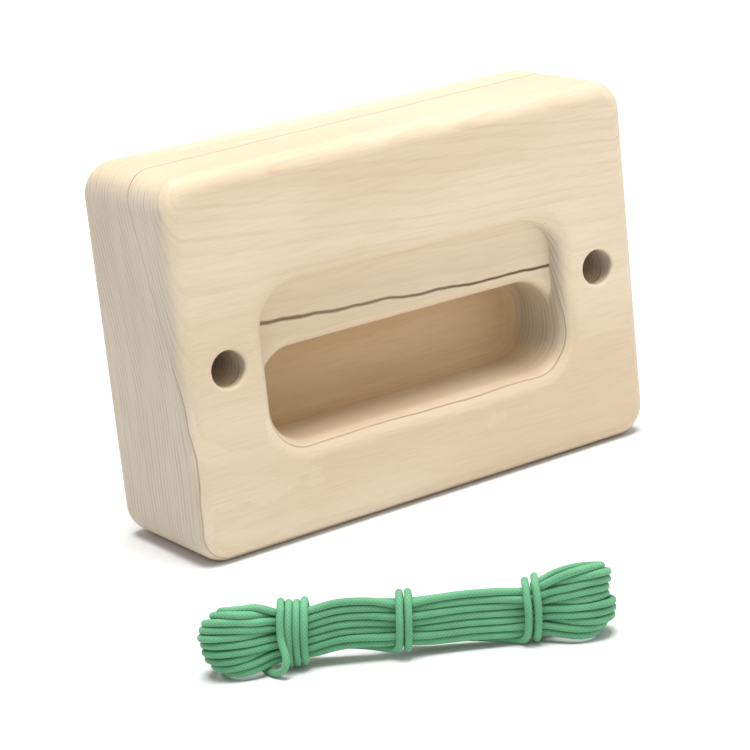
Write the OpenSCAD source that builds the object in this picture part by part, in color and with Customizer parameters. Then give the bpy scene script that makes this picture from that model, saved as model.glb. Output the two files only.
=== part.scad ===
// Finger training block for climbers: a solid maple block with a stepped,
// rounded finger pocket in its front and a cord hole through each end. Its
// hanging cord lies wound up in front of it, tied three times with its own turns.
//
// The block stands on its long bottom face. The origin is at the middle of that
// face, +X runs along the block, +Z is up and the pocket opens towards -Y.

/* [Block] */
// Length of the block, end to end
block_l = 150; // [150:1:200]
// Height of the block as it stands
block_h = 104; // [96:1:130]
// Thickness of the block, front to back
block_t = 45; // [40:1:60]
// Radius of the block's four corners, seen from the front
block_corner_r = 9; // [7:0.5:14]
// Rounding of the front and back edges
block_edge_r = 5; // [2:0.5:6]

/* [Finger pocket] */
// Length of the pocket between its end walls
pocket_l = 97; // [70:1:97]
// Height of the pocket between its top and bottom walls
pocket_h = 43.5; // [36:0.5:48]
// Height of the pocket's middle above the bottom face
pocket_mid_z = 48; // [44:0.5:54]
// Corner radius of the pocket's walls
pocket_corner_r = 11; // [8:0.5:12]
// Rounding of the rim that the fingers rest on
lip_r = 5; // [3:0.5:6]
// Straight wall between the rounded rim and the upper ledge
ledge_wall = 1; // [0.5:0.5:4]
// Height of the deep slot below the ledge
slot_h = 25.25; // [22.25:0.25:28]
// Depth of the slot from the front face
slot_depth = 25; // [18:1:30]
// Rounding of the ledge's lower edge
ledge_r = 3; // [1:0.5:4]
// Hollow where the slot's walls meet its back
slot_cove_r = 4; // [1:0.5:5]

/* [Cord holes] */
// Diameter of each cord hole
hole_d = 10; // [6:0.5:12]
// Distance from the end of the block to the hole's centre
hole_inset = 14; // [13:0.5:14]
// Rounding of the hole's mouths
hole_lip_r = 1; // [0.5:0.1:1.2]

/* [Wound cord] */
// Thickness of the braided cord
cord_d = 1.8; // [1.5:0.1:2.5]
// Length of the wound bundle, fold to fold
hank_l = 100; // [90:1:120]
// Height of the bundle inside its ties
hank_waist_h = 12.6; // [10:0.2:15]
// Height of the bundle at its open ends
hank_end_h = 19; // [16:0.5:22]
// Thickness of the bundle inside its ties, front to back
hank_waist_t = 6.6; // [5:0.2:10]
// Thickness of the bundle at its open ends
hank_end_t = 12.6; // [11:0.2:15]
// Radius of the bundle's round ends, seen from its side
hank_end_r = 7; // [5:0.5:7.5]
// Radius of the bundle's round ends, seen from above
hank_fold_r = 5; // [3:0.5:5]
// Length over which the bundle widens between waist and end
flare_l = 9; // [6:0.5:14]
// Turns in the first tie
turns_left = 4; // [2:1:5]
// Turns in the middle tie
turns_middle = 2; // [1:1:4]
// Turns in the last tie
turns_right = 2; // [1:1:4]
// Distance from the first tie's middle to where the bundle widens
tie_left_inset = 8; // [6:0.5:12]
// Place of the middle tie, from the middle of the bundle
tie_middle_at = -0.5; // [-5:0.5:5]
// Distance from the last tie's middle to where the bundle widens
tie_right_inset = 5; // [5:0.5:12]
// Middle of the bundle, along the block
hank_x = -69.5; // [-90:0.5:90]
// Middle of the bundle, in front of the block's middle
hank_y = -109.5; // [-200:0.5:-100]
// Turn of the bundle about the vertical
hank_turn = -31.5; // [-45:0.5:45]

/* [Hidden] */
$fn = 96;

// Small overlap that keeps a cutter clear of the face it starts from.
over = 1;

hole_x = block_l / 2 - hole_inset;
ledge_depth = lip_r + ledge_wall;
pocket_bottom_z = pocket_mid_z - pocket_h / 2;
slot_mid_z = pocket_bottom_z + slot_h / 2;

// The bundle rests on its two open ends, which lifts the tied waist.
hank_mid_z = hank_end_h / 2;
// Where the waist ends and the bundle starts to widen, from its middle.
hank_flare_from = hank_l / 2 - hank_end_r - flare_l;

wood = "BurlyWood";
green = "MediumAquamarine";

// ---- Shapes -------------------------------------------------------------

// Flat rounded rectangle, centred.
module round_rect(l, h, r) {
    square([l - 2 * r, h], center = true);
    square([l, h - 2 * r], center = true);
    for (x = [-1, 1], y = [-1, 1])
        translate([x * (l / 2 - r), y * (h / 2 - r)]) circle(r);
}

// The edges of a rounded-rectangle plate are drawn from a half section, which
// runs from the corner's centre line at x = 0 out past the wall at x = r.

// Straight run along the top (side = 1) or the bottom (side = -1) of the plate.
module long_edge(l, h, r, side) {
    mirror([0, 1 - side, 0]) translate([0, h / 2 - r, 0]) rotate([90, 0, 90])
        linear_extrude(l - 2 * r, center = true) children();
}

// Whole plate with one section all round, its inside filled from z0 to z1.
module swept_plate(l, h, r, z0, z1) {
    translate([r - l / 2, r - h / 2, z0]) cube([l - 2 * r, h - 2 * r, z1 - z0]);
    for (side = [-1, 1])
        long_edge(l, h, r, side) children();
    for (x = [0, 1])
        mirror([x, 0, 0]) translate([l / 2 - r, 0, 0]) {
            rotate([90, 0, 0]) linear_extrude(h - 2 * r, center = true) children();
            for (y = [0, 1])
                mirror([0, y, 0]) translate([0, h / 2 - r, 0])
                    rotate_extrude(angle = 90) children();
        }
}

// Half section of a plate of thickness t with both outer edges rounded.
module rounded_edge_section(r, t, edge) {
    intersection() {
        translate([0, -t / 2]) square([r, t]);
        union() {
            translate([0, -t / 2]) square([r - edge, t]);
            translate([0, edge - t / 2]) square([r, t - 2 * edge]);
            for (y = [-1, 1])
                translate([r - edge, y * (t / 2 - edge)]) circle(edge);
        }
    }
}

// Stands a shape drawn flat up on the block's front face: its z = 0 plane
// becomes the front and its middle goes to the height mid_z.
module on_front(mid_z) {
    translate([0, -block_t / 2, mid_z]) rotate([90, 0, 0]) children();
}

// ---- Block --------------------------------------------------------------

// Upper step of the pocket, as deep as the ledge, with its rim rounded off.
module recess_cut() {
    swept_plate(pocket_l, pocket_h, pocket_corner_r, -ledge_depth, over) {
        difference() {
            translate([0, -ledge_depth])
                square([pocket_corner_r + lip_r, ledge_depth + over]);
            translate([pocket_corner_r, -ledge_depth]) square([lip_r, ledge_depth - lip_r]);
            translate([pocket_corner_r + lip_r, -lip_r]) circle(lip_r);
        }
    }
}

// Deep slot under the ledge, with a hollow all round its back wall. Its ends and
// its bottom are flush with the pocket's walls.
module slot_cut() {
    swept_plate(pocket_l, slot_h, pocket_corner_r, -slot_depth, -ledge_depth) {
        translate([0, -slot_depth])
            square([pocket_corner_r - slot_cove_r, slot_depth - ledge_depth]);
        translate([0, slot_cove_r - slot_depth])
            square([pocket_corner_r, slot_depth - slot_cove_r - ledge_depth]);
        translate([pocket_corner_r - slot_cove_r, slot_cove_r - slot_depth]) circle(slot_cove_r);
    }
}

// Rounds the ledge's lower edge along the slot's straight top.
module ledge_rim_cut() {
    long_edge(pocket_l, slot_h, pocket_corner_r, 1)
        difference() {
            translate([pocket_corner_r - over, -ledge_depth - ledge_r])
                square([ledge_r + over, ledge_r + over]);
            translate([pocket_corner_r + ledge_r, -ledge_depth - ledge_r]) circle(ledge_r);
        }
}

// One cord hole with both mouths rounded.
module cord_hole_cut() {
    rotate([90, 0, 0]) {
        cylinder(h = block_t + 2 * over, d = hole_d, center = true);
        for (side = [0, 1])
            mirror([0, 0, side]) translate([0, 0, block_t / 2])
                rotate_extrude()
                    difference() {
                        translate([0, -hole_lip_r]) square([hole_d / 2 + hole_lip_r, hole_lip_r + over]);
                        translate([hole_d / 2 + hole_lip_r, -hole_lip_r]) circle(hole_lip_r);
                    }
    }
}

module block() {
    color(wood)
        difference() {
            translate([0, 0, block_h / 2]) rotate([90, 0, 0])
                swept_plate(block_l, block_h, block_corner_r, -block_t / 2, block_t / 2)
                    rounded_edge_section(block_corner_r, block_t, block_edge_r);
            on_front(pocket_mid_z) recess_cut();
            on_front(slot_mid_z) {
                slot_cut();
                ledge_rim_cut();
            }
            for (x = [-1, 1])
                translate([x * hole_x, 0, block_h / 2]) cord_hole_cut();
        }
}

// ---- Wound cord ---------------------------------------------------------

// Puts a shape drawn along X at the bundle's place in front of the block.
module at_hank() {
    translate([hank_x, hank_y, hank_mid_z]) rotate([0, 0, hank_turn]) children();
}

// Outline of the bundle: a narrow waist and two wide ends with rounded corners.
module hank_outline(waist_w, end_w, end_r) {
    end_x = hank_l / 2 - end_r;
    square([2 * hank_flare_from, waist_w], center = true);
    for (side = [0, 1])
        mirror([side, 0]) {
            polygon([
                [hank_flare_from, -waist_w / 2],
                [end_x, -end_w / 2],
                [end_x, end_w / 2],
                [hank_flare_from, waist_w / 2],
            ]);
            translate([end_x, 0]) square([2 * end_r, end_w - 2 * end_r], center = true);
            for (y = [-1, 1])
                translate([end_x, y * (end_w / 2 - end_r)]) circle(end_r);
        }
}

// All the long turns of the cord as one solid bundle, shaped by its outline
// from the side and its outline from above.
module cord_hank() {
    color(green)
        at_hank() intersection() {
            rotate([90, 0, 0]) linear_extrude(hank_end_t, center = true)
                hank_outline(hank_waist_h, hank_end_h, hank_end_r);
            linear_extrude(hank_end_h, center = true)
                hank_outline(hank_waist_t, hank_end_t, hank_fold_r);
        }
}

// Turns of the cord laid round the waist, side by side.
module tie(at, turns) {
    color(green)
        at_hank() translate([at, 0, 0]) rotate([90, 0, 90])
            linear_extrude(turns * cord_d, center = true)
                difference() {
                    round_rect(hank_waist_t + 2 * cord_d, hank_waist_h + 2 * cord_d, cord_d);
                    square([hank_waist_t, hank_waist_h], center = true);
                }
}

module tie_left() {
    tie(tie_left_inset - hank_flare_from, turns_left);
}

module tie_middle() {
    tie(tie_middle_at, turns_middle);
}

module tie_right() {
    tie(hank_flare_from - tie_right_inset, turns_right);
}

block();
cord_hank();
tie_left();
tie_middle();
tie_right();
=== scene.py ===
"""A maple finger training block and its wound green cord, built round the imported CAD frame."""
from __future__ import annotations

import logging
import math
from dataclasses import dataclass, field
from enum import Enum

import bmesh
import bpy
import numpy as np
from mathutils import Matrix, Vector
from mathutils.geometry import delaunay_2d_cdt


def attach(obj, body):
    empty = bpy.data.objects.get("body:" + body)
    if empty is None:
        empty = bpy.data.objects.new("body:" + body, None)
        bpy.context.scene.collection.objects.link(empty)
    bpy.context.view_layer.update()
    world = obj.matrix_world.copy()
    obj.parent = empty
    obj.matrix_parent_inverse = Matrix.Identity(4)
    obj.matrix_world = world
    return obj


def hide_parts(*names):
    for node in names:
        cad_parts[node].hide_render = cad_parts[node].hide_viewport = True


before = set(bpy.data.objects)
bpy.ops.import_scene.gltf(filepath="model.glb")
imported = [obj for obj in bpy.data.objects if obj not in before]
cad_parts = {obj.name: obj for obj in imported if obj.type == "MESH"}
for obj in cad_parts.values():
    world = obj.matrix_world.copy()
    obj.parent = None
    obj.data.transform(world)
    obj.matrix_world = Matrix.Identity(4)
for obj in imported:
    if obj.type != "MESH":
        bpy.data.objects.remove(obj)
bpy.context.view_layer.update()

MM = 0.001
Colour = tuple[float, float, float]
Feed = bpy.types.NodeSocket | float | tuple[float, ...]
log = logging.getLogger("finger_block")


# ---- Small helpers -------------------------------------------------------------


def smoothstep(t: np.ndarray | float) -> np.ndarray | float:
    """Ease from 0 to 1 with no kink at either end.

    Args:
        t: Position between 0 and 1; values outside are held at the ends.

    Returns:
        The eased position.
    """
    t = np.clip(t, 0.0, 1.0)
    return t * t * t * (t * (6.0 * t - 15.0) + 10.0)


def read_profile(place: np.ndarray | float, profile: tuple[tuple[float, float], ...]) -> np.ndarray | float:
    """Read a value that changes evenly between the places where it is given.

    Args:
        place: Where to read it.
        profile: Its (place, value) pairs in order.

    Returns:
        The value there.
    """
    places, values = zip(*profile)
    return np.interp(place, places, values)


def add_object(name: str, mesh: bpy.types.Mesh) -> bpy.types.Object:
    """Put a mesh in the scene as an object at the origin.

    Args:
        name: Name of the piece.
        mesh: Its finished mesh, in metres.

    Returns:
        The new object.
    """
    obj = bpy.data.objects.new(name, mesh)
    bpy.context.scene.collection.objects.link(obj)
    return obj


def bake_modifiers(obj: bpy.types.Object) -> None:
    """Turn an object's modifiers into a plain mesh and remove them.

    Args:
        obj: The object to change.
    """
    depsgraph = bpy.context.evaluated_depsgraph_get()
    evaluated = obj.evaluated_get(depsgraph)
    mesh = bpy.data.meshes.new_from_object(evaluated, preserve_all_data_layers=True, depsgraph=depsgraph)
    obj.modifiers.clear()
    obj.data = mesh


# ---- Finishes ------------------------------------------------------------------


class NodeSheet:
    """A material's node tree, with short calls for the nodes the finishes use."""

    def __init__(self, name: str) -> None:
        """Make an empty material with a principled shader.

        Args:
            name: Name of the material.
        """
        self.material = bpy.data.materials.new(name)
        self.material.use_nodes = True
        self.tree = self.material.node_tree
        self.tree.nodes.clear()
        self.output = self.tree.nodes.new("ShaderNodeOutputMaterial")
        self.shader = self.tree.nodes.new("ShaderNodeBsdfPrincipled")
        self.tree.links.new(self.shader.outputs[0], self.output.inputs[0])

    def node(self, kind: str, **settings: object) -> bpy.types.Node:
        """Add a node.

        Args:
            kind: Blender's name of the node type.
            settings: Node properties to set.

        Returns:
            The new node.
        """
        made = self.tree.nodes.new(kind)
        for key, value in settings.items():
            setattr(made, key, value)
        return made

    def wire(self, value: Feed, socket: bpy.types.NodeSocket) -> None:
        """Link an output to a socket, or set the socket's own number.

        Args:
            value: An output socket, a number or a tuple.
            socket: The input to feed.
        """
        if isinstance(value, bpy.types.NodeSocket):
            self.tree.links.new(value, socket)
        else:
            socket.default_value = value

    def math(self, operation: str, *values: Feed) -> bpy.types.NodeSocket:
        """Add a math node.

        Args:
            operation: Name of the operation.
            values: Its inputs, sockets or numbers.

        Returns:
            The node's output.
        """
        made = self.node("ShaderNodeMath", operation=operation)
        for socket, value in zip(made.inputs, values):
            self.wire(value, socket)
        return made.outputs[0]

    def times(self, first: Feed, second: Feed) -> bpy.types.NodeSocket:
        """Multiply two values."""
        return self.math("MULTIPLY", first, second)

    def scaled(self, value: Feed, factor: Feed, start: Feed) -> bpy.types.NodeSocket:
        """Multiply a value by a factor and add a starting value."""
        return self.math("MULTIPLY_ADD", value, factor, start)

    def away_from(self, value: Feed, place: float) -> bpy.types.NodeSocket:
        """Distance of a value from a place, on either side."""
        return self.math("ABSOLUTE", self.math("SUBTRACT", value, place))

    def ramp(self, value: Feed, low: float, high: float,
             out: tuple[float, float] = (0.0, 1.0)) -> bpy.types.NodeSocket:
        """Map a value smoothly from one range to another.

        Args:
            value: The value to map.
            low: Where the change starts.
            high: Where the change ends.
            out: The results at those two places.

        Returns:
            The mapped value.
        """
        made = self.node("ShaderNodeMapRange", interpolation_type="SMOOTHSTEP")
        for socket, number in zip(made.inputs, (value, low, high, out[0], out[1])):
            self.wire(number, socket)
        return made.outputs[0]

    def noise(self, vector: Feed, scale: float, detail: float = 2.0,
              roughness: float = 0.5) -> bpy.types.NodeSocket:
        """Add a smooth noise.

        Args:
            vector: Where the noise is read.
            scale: Features per unit of the vector.
            detail: Number of finer layers.
            roughness: Strength of each finer layer.

        Returns:
            The noise, about 0 to 1.
        """
        made = self.node("ShaderNodeTexNoise")
        self.wire(vector, made.inputs["Vector"])
        for name, number in (("Scale", scale), ("Detail", detail), ("Roughness", roughness)):
            made.inputs[name].default_value = number
        return made.outputs[0]

    def stretched(self, vector: Feed, scale: tuple[float, float, float],
                  shift: tuple[float, float, float] = (0.0, 0.0, 0.0)) -> bpy.types.NodeSocket:
        """Stretch and shift a pattern's coordinates.

        Args:
            vector: The coordinates.
            scale: Factor along each axis.
            shift: Amount added along each axis.

        Returns:
            The new coordinates.
        """
        made = self.node("ShaderNodeMapping")
        self.wire(vector, made.inputs["Vector"])
        made.inputs["Scale"].default_value = scale
        made.inputs["Location"].default_value = shift
        return made.outputs[0]

    def mix(self, factor: Feed, first: Feed, second: Feed, blend: str = "MIX") -> bpy.types.NodeSocket:
        """Mix two colours.

        Args:
            factor: Share of the second colour.
            first: A colour or an output.
            second: A colour or an output.
            blend: Way of mixing.

        Returns:
            The mixed colour.
        """
        made = self.node("ShaderNodeMix", data_type="RGBA", blend_type=blend)
        for index, value in ((0, factor), (6, first), (7, second)):
            if isinstance(value, tuple):
                value = (*value, 1.0)
            self.wire(value, made.inputs[index])
        return made.outputs[2]

    def bump(self, height: Feed, strength: float, distance: float,
             under: bpy.types.NodeSocket | None = None) -> bpy.types.NodeSocket:
        """Turn a height into a bump.

        Args:
            height: The height, 0 to 1.
            strength: Share of the effect.
            distance: Depth in metres at full height.
            under: A bump that this one lies on.

        Returns:
            The normal.
        """
        made = self.node("ShaderNodeBump")
        made.inputs["Strength"].default_value = strength
        made.inputs["Distance"].default_value = distance
        self.wire(height, made.inputs["Height"])
        if under is not None:
            self.wire(under, made.inputs["Normal"])
        return made.outputs[0]


@dataclass(frozen=True)
class Grain:
    """Values that every part of the maple's pattern reads, in millimetres.

    Attributes:
        place: Place in the block.
        along: Distance along the block from its middle.
        depth: Distance behind the front face.
        height: Height over the bottom face.
        ring: Distance across the growth rings from the brown line.
        patchy: Slow change along the grain, from 0 to 1.
        fibre: Fine streaks along the grain, from 0 to 1.
    """

    place: bpy.types.NodeSocket
    along: bpy.types.NodeSocket
    depth: bpy.types.NodeSocket
    height: bpy.types.NodeSocket
    ring: bpy.types.NodeSocket
    patchy: bpy.types.NodeSocket
    fibre: bpy.types.NodeSocket


@dataclass(frozen=True)
class MapleFinish:
    """Sanded and oiled maple whose rings run along the block and lean back towards its top.

    Lengths are in millimetres.

    Attributes:
        light: Colour of the palest wood.
        middle: Colour of its darker patches.
        late: Colour of the late wood at a ring's edge.
        mineral: Colour of the one strong brown line.
        end: Tone of the end grain.
        end_line: Colour of the fine lines in the end grain.
        pore: Colour of the pores in the end grain.
        slot_shade: Painted shade that makes the deep slot darker and warmer towards its back.
        ring_pitch: Distance from ring to ring.
        fine_pitch: Distance between the fine lines of the end grain.
        bend_height: Height above which the rings lean back.
        bend_softness: How gradually they start to lean.
        lean: How far back they go for each millimetre of height.
        twist: How much more they lean for each millimetre along the block.
        skew: How far back they go for each millimetre along the block.
        wave: Size of the rings' long waves.
        ripple: Size of their short waves.
        streak_depth: Depth of the brown line behind the front.
        half_thickness: Half the block's thickness.
        slot_middle: Height of the middle of the deep slot.
        slot_reach: How far up and down from there the painted slot shade may go.
        slot_half: How far along the block from its middle the painted slot shade may go.
        roughness: Roughness of the sanded wood.
        gloss: Specular level of the oil.
    """

    light: Colour = (0.715, 0.600, 0.448)
    middle: Colour = (0.655, 0.525, 0.368)
    late: Colour = (0.470, 0.300, 0.155)
    mineral: Colour = (0.125, 0.050, 0.018)
    end: Colour = (0.480, 0.430, 0.365)
    end_line: Colour = (0.300, 0.215, 0.150)
    pore: Colour = (0.360, 0.290, 0.220)
    # Painted shade, multiplied into the deep slot to darken and warm it.
    slot_shade: Colour = (0.860, 0.750, 0.580)
    ring_pitch: float = 3.0
    fine_pitch: float = 1.7
    bend_height: float = 47.0
    bend_softness: float = 30.0
    lean: float = 0.40
    twist: float = 0.0005
    skew: float = 0.004
    wave: float = 2.6
    ripple: float = 0.9
    streak_depth: float = 1.7
    half_thickness: float = 22.5
    slot_middle: float = 39.0
    slot_reach: float = 17.0
    slot_half: float = 52.0
    roughness: float = 0.52
    gloss: float = 0.35

    def build(self) -> bpy.types.Material:
        """Make the material.

        Returns:
            The maple material, on object coordinates.
        """
        sheet = NodeSheet("oiled_maple")
        grain = self.read_grain(sheet)
        line = self.ring_line(sheet, grain)
        base = self.sawn_face(sheet, grain, line)
        base = self.brown_line(sheet, grain, base)
        # Painted shade in the deep slot.
        base = self.paint_slot_shade(sheet, grain, base)
        base = self.end_grain(sheet, grain, base)
        sheet.wire(base, sheet.shader.inputs["Base Color"])
        rough = sheet.scaled(grain.fibre, 0.14, self.roughness - 0.07)
        sheet.wire(rough, sheet.shader.inputs["Roughness"])
        sheet.shader.inputs["Specular IOR Level"].default_value = self.gloss
        fibres = sheet.bump(grain.fibre, 0.35, 0.06 * MM)
        sheet.wire(sheet.bump(line, 0.25, 0.08 * MM, fibres), sheet.shader.inputs["Normal"])
        return sheet.material

    def read_grain(self, sheet: NodeSheet) -> Grain:
        """Work out where a point lies in the block and among its growth rings.

        Args:
            sheet: The material being made.

        Returns:
            The shared values.
        """
        coords = sheet.node("ShaderNodeTexCoord").outputs["Object"]
        place = sheet.stretched(coords, (1 / MM, 1 / MM, 1 / MM))
        split = sheet.node("ShaderNodeSeparateXYZ")
        sheet.wire(place, split.inputs[0])
        along, across, height = split.outputs
        depth = sheet.math("ADD", across, self.half_thickness)
        # The rings stand upright below the bend and lean back above it.
        over_bend = sheet.math("SUBTRACT", height, self.bend_height)
        softened = sheet.math("ADD", sheet.times(over_bend, over_bend), self.bend_softness)
        risen = sheet.math("ADD", over_bend, sheet.math("SQRT", softened))
        leant = sheet.times(risen, sheet.scaled(along, self.twist, self.lean / 2))
        ring = sheet.math("SUBTRACT", sheet.math("SUBTRACT", depth, leant), sheet.times(along, self.skew))
        wave = sheet.noise(sheet.stretched(place, (0.016, 0.05, 0.03)), 1.0)
        ripple = sheet.noise(sheet.stretched(place, (0.07, 0.10, 0.09), (7.0, 3.0, 1.0)), 1.0)
        for noise, size in ((wave, self.wave), (ripple, self.ripple)):
            ring = sheet.math("ADD", ring, sheet.times(sheet.math("SUBTRACT", noise, 0.5), size))
        ring = sheet.math("SUBTRACT", ring, self.streak_depth)
        patches = sheet.noise(sheet.stretched(place, (0.02, 0.12, 0.05), (3.0, 9.0, 4.0)), 1.0)
        fibre = sheet.noise(sheet.stretched(place, (0.10, 2.2, 2.2)), 1.0, 3.0, 0.6)
        return Grain(place, along, depth, height, ring, sheet.ramp(patches, 0.35, 0.65), fibre)

    def turn_of(self, sheet: NodeSheet, grain: Grain) -> bpy.types.NodeSocket:
        """Number of growth rings from the brown line."""
        return sheet.math("DIVIDE", grain.ring, self.ring_pitch)

    def ring_line(self, sheet: NodeSheet, grain: Grain) -> bpy.types.NodeSocket:
        """Draw a thin line at every ring's edge, each of its own strength.

        Args:
            sheet: The material being made.
            grain: The shared values.

        Returns:
            The strength of the lines, from 0 to 1.
        """
        turn = self.turn_of(sheet, grain)
        phase = sheet.math("FRACT", sheet.math("ADD", turn, 50.5))
        number = sheet.node("ShaderNodeTexWhiteNoise", noise_dimensions="1D")
        sheet.wire(sheet.math("ROUND", turn), number.inputs["W"])
        strength = sheet.math("POWER", number.outputs["Value"], 1.6)
        strength = sheet.times(strength, sheet.scaled(grain.patchy, 0.7, 0.3))
        return sheet.times(sheet.ramp(sheet.away_from(phase, 0.5), 0.0, 0.11, (1.0, 0.0)), strength)

    def sawn_face(self, sheet: NodeSheet, grain: Grain,
                  line: bpy.types.NodeSocket) -> bpy.types.NodeSocket:
        """Colour the long grain.

        Args:
            sheet: The material being made.
            grain: The shared values.
            line: Strength of the lines between the rings.

        Returns:
            The colour of the wood before its marks.
        """
        phase = sheet.math("FRACT", sheet.math("ADD", self.turn_of(sheet, grain), 50.5))
        band = sheet.times(sheet.ramp(phase, 0.55, 1.0), 0.35)
        cloud = sheet.noise(sheet.stretched(grain.place, (0.010, 0.04, 0.035), (2.0, 5.0, 8.0)), 1.0, 3.0)
        base = sheet.mix(sheet.ramp(cloud, 0.34, 0.66), self.light, self.middle)
        base = sheet.mix(sheet.times(sheet.ramp(grain.fibre, 0.42, 0.72), 0.16), base, self.late)
        base = sheet.mix(sheet.times(band, 0.30), base, self.late)
        return sheet.mix(sheet.times(line, 0.55), base, self.late)

    def brown_line(self, sheet: NodeSheet, grain: Grain,
                   base: bpy.types.NodeSocket) -> bpy.types.NodeSocket:
        """Add the one strong brown line in the growth, close behind the front.

        Args:
            sheet: The material being made.
            grain: The shared values.
            base: The colour so far.

        Returns:
            The colour with the line.
        """
        streak = sheet.ramp(sheet.away_from(grain.ring, 0.0), 0.06, 0.25, (1.0, 0.0))
        streak = sheet.times(streak, sheet.scaled(grain.patchy, 0.2, 0.8))
        streak = sheet.times(streak, sheet.ramp(grain.height, 30.0, 52.0, (0.50, 1.0)))
        return sheet.mix(streak, base, self.mineral)

    def paint_slot_shade(self, sheet: NodeSheet, grain: Grain,
                   base: bpy.types.NodeSocket) -> bpy.types.NodeSocket:
        """Paint shade into the deep slot, making it darker and warmer towards its back.

        Args:
            sheet: The material being made.
            grain: The shared values.
            base: The colour so far.

        Returns:
            The colour with the painted shade.
        """
        # Painted shade: the slot gets darker and warmer from 16 to 25 mm behind the front, within its
        # length and height.
        low, high = self.slot_half, self.slot_half + 2.0
        sides = sheet.ramp(sheet.math("ABSOLUTE", grain.along), low, high, (1.0, 0.0))
        low, high = self.slot_reach, self.slot_reach + 1.5
        level = sheet.ramp(sheet.away_from(grain.height, self.slot_middle), low, high, (1.0, 0.0))
        behind = sheet.math("SUBTRACT", 1.0, sheet.ramp(grain.depth, 26.0, 27.0))
        deep = sheet.times(sheet.ramp(grain.depth, 16.0, 25.0), behind)
        deep = sheet.times(deep, sheet.times(sides, level))
        return sheet.mix(deep, base, self.slot_shade, "MULTIPLY")

    def end_grain(self, sheet: NodeSheet, grain: Grain,
                  base: bpy.types.NodeSocket) -> bpy.types.NodeSocket:
        """Give the two ends their greyer tone, fine lines and pores.

        Args:
            sheet: The material being made.
            grain: The shared values.
            base: The colour so far.

        Returns:
            The finished colour.
        """
        facing = sheet.node("ShaderNodeSeparateXYZ")
        sheet.wire(sheet.node("ShaderNodeNewGeometry").outputs["Normal"], facing.inputs[0])
        ended = sheet.ramp(sheet.math("ABSOLUTE", facing.outputs[0]), 0.55, 0.97)
        base = sheet.mix(sheet.times(ended, 0.6), base, self.end)
        phase = sheet.math("ADD", sheet.math("DIVIDE", grain.ring, self.fine_pitch), 80.2)
        line = sheet.ramp(sheet.away_from(sheet.math("FRACT", phase), 0.5), 0.02, 0.30, (1.0, 0.0))
        uneven = sheet.noise(sheet.stretched(grain.place, (0.1, 0.35, 0.05), (1.0, 4.0, 2.0)), 1.0)
        line = sheet.times(line, sheet.scaled(sheet.ramp(uneven, 0.36, 0.62), 0.36, 0.06))
        base = sheet.mix(sheet.times(ended, line), base, self.end_line)
        pores = sheet.noise(sheet.stretched(grain.place, (0.6, 3.2, 3.2)), 1.0, 2.0, 0.6)
        pores = sheet.times(sheet.ramp(pores, 0.50, 0.70), 0.16)
        return sheet.mix(sheet.times(ended, pores), base, self.pore)


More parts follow.
